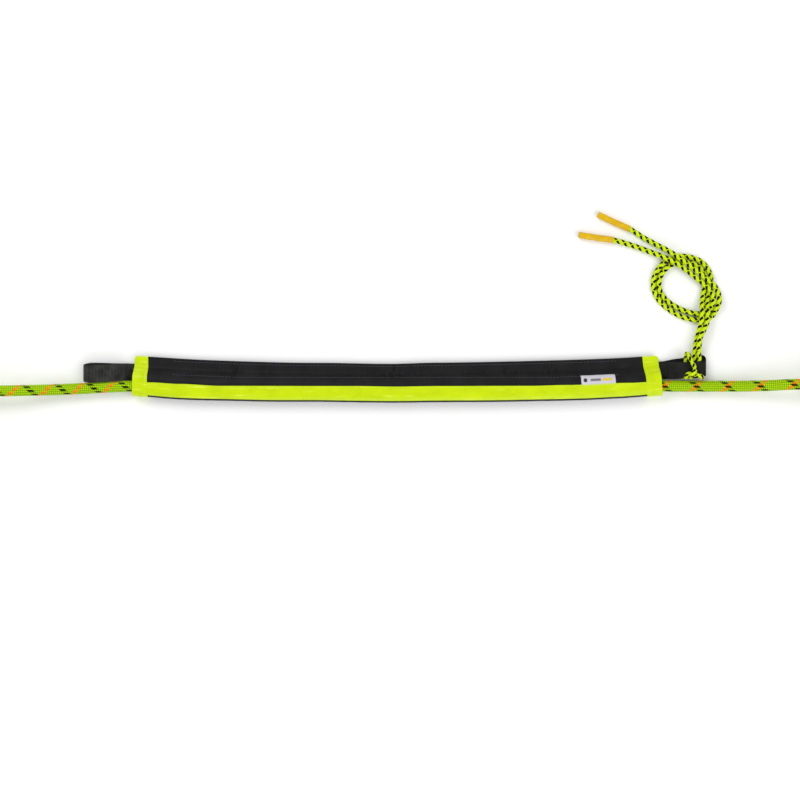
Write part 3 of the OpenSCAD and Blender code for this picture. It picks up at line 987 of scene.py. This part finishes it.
def fastener_rows():
    """Two rows along the black field. The lower one rises towards the ends of the sleeve."""
    parts = []
    x = np.arange(-212, 209, STITCH_STEP) * mm
    lower_y = 5.5 * mm + np.maximum(np.abs(x) - 150 * mm, 0) / (60 * mm) * 2.6 * mm
    for t in (row_t(x, lower_y), np.full(len(x), T_END - 2.6 * mm)):
        parts += stitch_parts(*skin_row(x, t, STITCH_L, 0.05 * mm, 0.16 * mm), 0.2 * mm)
    obj = make("fastener_stitches", *join_up(parts), DARK_THREAD)
    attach(obj, "front_flap")
    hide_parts("fastener_stitching")


def strip_rows():
    parts = []
    x = np.arange(-233, 231, STITCH_STEP) * mm
    out = LAY + TAPE_T - 0.12 * mm
    for t in (np.full(len(x), STRIP_LOW_T + SEAM_IN), strip_top_t(x) - SEAM_IN):
        parts += stitch_parts(*skin_row(x, t, STITCH_L, out, 0.14 * mm), 0.17 * mm)
    obj = make("wear_strip_stitches", *join_up(parts), NEON_THREAD)
    ride_fold(obj)


def band_rows():
    """A row of stitches along each band, on its front and on its back."""
    for name, t0, t1, fold in (("front", T_SPLIT + 1 * mm, T_END - 3 * mm, False),
                               ("back_and_fold", 2 * mm, T_SPLIT - 3 * mm, True)):
        parts = []
        t = np.arange(t0, t1, 3.2 * mm)
        for side in (-1, 1):
            inner = band_inner(side, t)
            x = side * (inner + BAND_SEAM * (SLEEVE_HALF - 0.4 * mm - inner))
            parts += stitch_parts(*skin_row(x, t, 2.3 * mm, LAY + TAPE_T - 0.06 * mm, 0.14 * mm, (0, 1)),
                                  0.17 * mm)
        obj = make(f"end_band_stitches_{name}", *join_up(parts), NEON_THREAD)
        if fold:
            ride_fold(obj)
        else:
            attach(obj, "front_flap")


fastener_rows()
strip_rows()
band_rows()

# ---- label

LABEL_W = 10.4 * mm
# How far the label reaches under the wear strip's edge
LABEL_TUCK = 0.8 * mm

def label():
    low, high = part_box("woven_label")
    u = np.linspace(0, 1, 40)[:, None]
    v = np.linspace(0, 1, 24)[None]
    x = (low.x + (high.x - low.x) * u) * np.ones_like(v)
    t = strip_top_t(x) - LABEL_TUCK + LABEL_W * v
    lift = (0.12 + 0.3 * np.clip(np.minimum(np.minimum(u, 1 - u) * 32, (1 - v) * 11), 0, 1)) * mm
    lift = lift + 0.06 * mm * np.sin(u * 17) * v
    weave = pairs(u, v)
    obj = make("woven_side_label", *shell_parts(skin(x, t, lift), skin(x, t, 0.04 * mm), weave), LABEL)
    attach(obj, "front_flap")
    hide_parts("woven_label")


label()

# ---- hook and loop

PILE_GAP = 0.0004
PILE_T = 0.55 * mm
PILE_R = 0.09 * mm
PILE_REACH = 0.5 * mm
LOOP_COUNT = 1500

def pile_strip(name, node, z_face, sign, body, hooked):
    """A woven tape with rows of small hooks, or of loose loops, on the side that faces its partner."""
    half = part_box(node)[1].x - PILE_GAP
    x = np.linspace(-half, half, 200)[:, None]
    v0, v1 = 25.3 * mm, 37.5 * mm
    v = np.linspace(v0, v1, 10)[None]

    def at(px, pv, z):
        return np.stack(np.broadcast_arrays(px, across_y(px, pv), z), -1)

    weave = pairs(x, v)
    parts = [shell_parts(at(x, v, z_face), at(x, v, z_face - sign * PILE_T), weave)]
    if hooked:
        xs, vs = np.meshgrid(np.arange(-half + 1.5 * mm, half - 1 * mm, 2.4 * mm),
                             np.arange(v0 + 1.2 * mm, v1 - 0.6 * mm, 1.9 * mm))
        shape = np.array([(0, 0), (0, 0.7), (0.25, 1), (0.5, 0.75)]) * PILE_REACH
        turn = np.zeros(xs.size)
    else:
        xs = rng.uniform(-half + 1 * mm, half - 1 * mm, LOOP_COUNT)
        vs = rng.uniform(v0 + 1 * mm, v1 - 1 * mm, LOOP_COUNT)
        shape = np.array([(-0.6, 0), (-0.45, 0.7), (0, 1), (0.45, 0.7), (0.6, 0)]) * PILE_REACH
        turn = rng.uniform(0, np.pi, LOOP_COUNT)
    angle = 2 * np.pi * np.arange(5) / 4
    for px, pv, w in zip(xs.ravel(), vs.ravel(), turn):
        foot = at(px, pv, z_face)
        way, side = headings(w)
        path = foot + shape[:, :1] * way + sign * shape[:, 1:] * np.array([0, 0, 1.0])
        rings = path[:, None] + PILE_R * around(angle[:4], side, way)
        places = np.broadcast_to(np.array([px, pv]), (len(path), 5, 2))
        parts.append(tube_parts(rings, places))
    obj = make(name, *join_up(parts), PILE)
    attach(obj, body)
    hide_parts(node)


pile_strip("loop_pile_tape", "loop_strip", 1.65 * mm, 1, "root", False)
pile_strip("hook_tape", "hook_strip", 3.05 * mm, -1, "front_flap", True)

# ---- webbing

WEB_W = 16 * mm
WEB_T = 0.8 * mm


def webbing_parts(route, pinches=()):
    """Ribbed webbing along a route of x, z and the y of its middle. Each pinch draws the lower edge of its
    upper leg in at an x, by a depth and over a reach."""
    points = np.array(route)[:, [0, 2, 1]]
    path = smooth_path(points, 0.3 * mm)
    flat = path * (1, 0, 1)
    tangent = unit(np.gradient(flat, axis=0))
    normal = np.cross(tangent, (0, 1, 0))
    s = lengths(path)[:, None]
    rib = 0.1 * mm * (np.abs(np.sin(s * math.pi / RIB_PITCH)) - 0.5)
    across = np.linspace(-0.5, 0.5, 20)[None]
    edge = np.sqrt(np.clip(1 - (np.abs(across) * 2) ** 14, 0, 1))
    thick = (WEB_T / 2 - 0.05 * mm) * np.maximum(edge, 0.35) + rib * edge
    y = across * WEB_W
    face = path[:, None] + y[..., None] * np.array([0, 1.0, 0])
    upper = np.clip(path[:, 2:] / (2.5 * mm) - 2, 0, 1)
    for x, depth, reach in pinches:
        near = np.exp(-((path[:, :1] - x) / reach) ** 2) * upper
        face[..., 1] += depth * near * (0.5 - across) ** 3
    top = face + thick[..., None] * normal[:, None]
    under = face - thick[..., None] * normal[:, None]
    rings = np.concatenate([top, under[:, ::-1]], 1)
    columns = np.concatenate([y[0], y[0][::-1], y[0][:1]])[None]
    weave = pairs(s, columns)
    return tube_parts(rings, weave)


LEFT_WEBBING = [
    (-0.222, 0.00265, 0.0118), (-0.236, 0.00265, 0.0112), (-0.249, 0.00265, 0.0108),
    (-0.253, 0.0034, 0.0109), (-0.259, 0.008, 0.011), (-0.266, 0.0108, 0.0102),
    (-0.278, 0.0114, 0.0091), (-0.29, 0.0114, 0.0089), (-0.2945, 0.0098, 0.0093),
    (-0.2963, 0.0058, 0.0099), (-0.2945, 0.0018, 0.0109), (-0.29, 0.0005, 0.0117),
    (-0.28, 0.0004, 0.0116), (-0.268, 0.0004, 0.0112), (-0.259, 0.0008, 0.011),
    (-0.253, 0.0016, 0.0109), (-0.249, 0.0018, 0.0108), (-0.236, 0.0018, 0.0112),
    (-0.222, 0.0018, 0.0118)]
RIGHT_WEBBING = [
    (0.222, 0.00265, 0.0142), (0.236, 0.00265, 0.0134), (0.249, 0.00265, 0.0123),
    (0.253, 0.0031, 0.0121), (0.259, 0.007, 0.012), (0.265, 0.0094, 0.012),
    (0.273, 0.0096, 0.0122), (0.28, 0.0096, 0.0125), (0.286, 0.0096, 0.013),
    (0.2905, 0.0084, 0.0139), (0.2922, 0.005, 0.0162), (0.2905, 0.0016, 0.0186),
    (0.286, 0.0005, 0.0194), (0.278, 0.0004, 0.0177), (0.27, 0.0004, 0.0161),
    (0.262, 0.0006, 0.015), (0.256, 0.0013, 0.0137), (0.249, 0.0018, 0.0127),
    (0.236, 0.0018, 0.0134), (0.222, 0.0018, 0.0142)]
# Where the hitch draws the right webbing in: x, depth and reach
HITCH_PINCHES = [(0.2745, 4.4 * mm, 3.6 * mm), (0.2872, 4.2 * mm, 2.6 * mm)]

left_webbing = make("webbing_loop_left_side", *webbing_parts(LEFT_WEBBING), WEBBING)
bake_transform(left_webbing)
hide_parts("webbing_tail_left", "webbing_loop_left")
# The right loop takes the darker copy of the webbing, with painted shade.
right_webbing = make("webbing_loop_right_side", *webbing_parts(RIGHT_WEBBING, HITCH_PINCHES), SHADED_WEBBING)
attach(right_webbing, "root")
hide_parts("webbing_tail_right", "webbing_loop_right")


def tacks(name, node, centre_y):
    """Two dense zigzag rows that sew a webbing's end to the back half."""
    low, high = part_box(node)
    parts = []
    for x in (low.x + 0.8 * mm, high.x - 0.8 * mm):
        y = np.arange(centre_y - 6.2 * mm, centre_y + 6 * mm, 0.7 * mm)
        a = np.stack([np.full(len(y), x - 0.8 * mm), y, np.full(len(y), 3.15 * mm)], 1)
        b = a + (1.6 * mm, 0.35 * mm, 0)
        lifts = np.tile((0, 0, 0.08 * mm), (len(y), 1))
        parts += stitch_parts(a, b, lifts, 0.16 * mm)
    obj = make(name, *join_up(parts), DARK_THREAD)
    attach(obj, "root")
    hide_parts(node)


tacks("tack_stitches_left", "bar_tacks_left", 0.0116)
tacks("tack_stitches_right", "bar_tacks_right", 0.0135)

# ---- carried-over node

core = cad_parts["rope_core"]
core.data.materials.clear()
core.data.materials.append(CORE)

# ---- floor and light

FLOOR_SIZE = 8
FLOOR_Z = -0.0003
WORLD_LIGHT = 0.56

bpy.ops.mesh.primitive_plane_add(size=FLOOR_SIZE, location=(0, 0, FLOOR_Z))
floor = bpy.context.object
floor.name = "floor"
floor.data.materials.append(floor_material())


def area_light(name, place, target, size, watts):
    data = bpy.data.lights.new(name, "AREA")
    data.shape = "DISK"
    data.size, data.energy = size, watts
    obj = bpy.data.objects.new(name, data)
    bpy.context.scene.collection.objects.link(obj)
    obj.location = place
    away = np.array(place) - np.array(target)
    obj.rotation_euler = (math.atan2(math.hypot(away[0], away[1]), away[2]), 0,
                          math.atan2(away[0], -away[1]))


area_light("key", (-1.0, 1.2, 1.5), (0, 0, 0), 1.3, 20)
area_light("fill", (1.3, -0.7, 1.6), (0, 0, 0), 1.5, 13)
area_light("rim", (0.2, -1.7, 1.0), (0, 0, 0), 1.5, 10)
world = bpy.data.worlds.new("studio")
bpy.context.scene.world = world
world.use_nodes = True
background = world.node_tree.nodes["Background"].inputs
background["Color"].default_value = (1, 1, 1, 1)
background["Strength"].default_value = WORLD_LIGHT
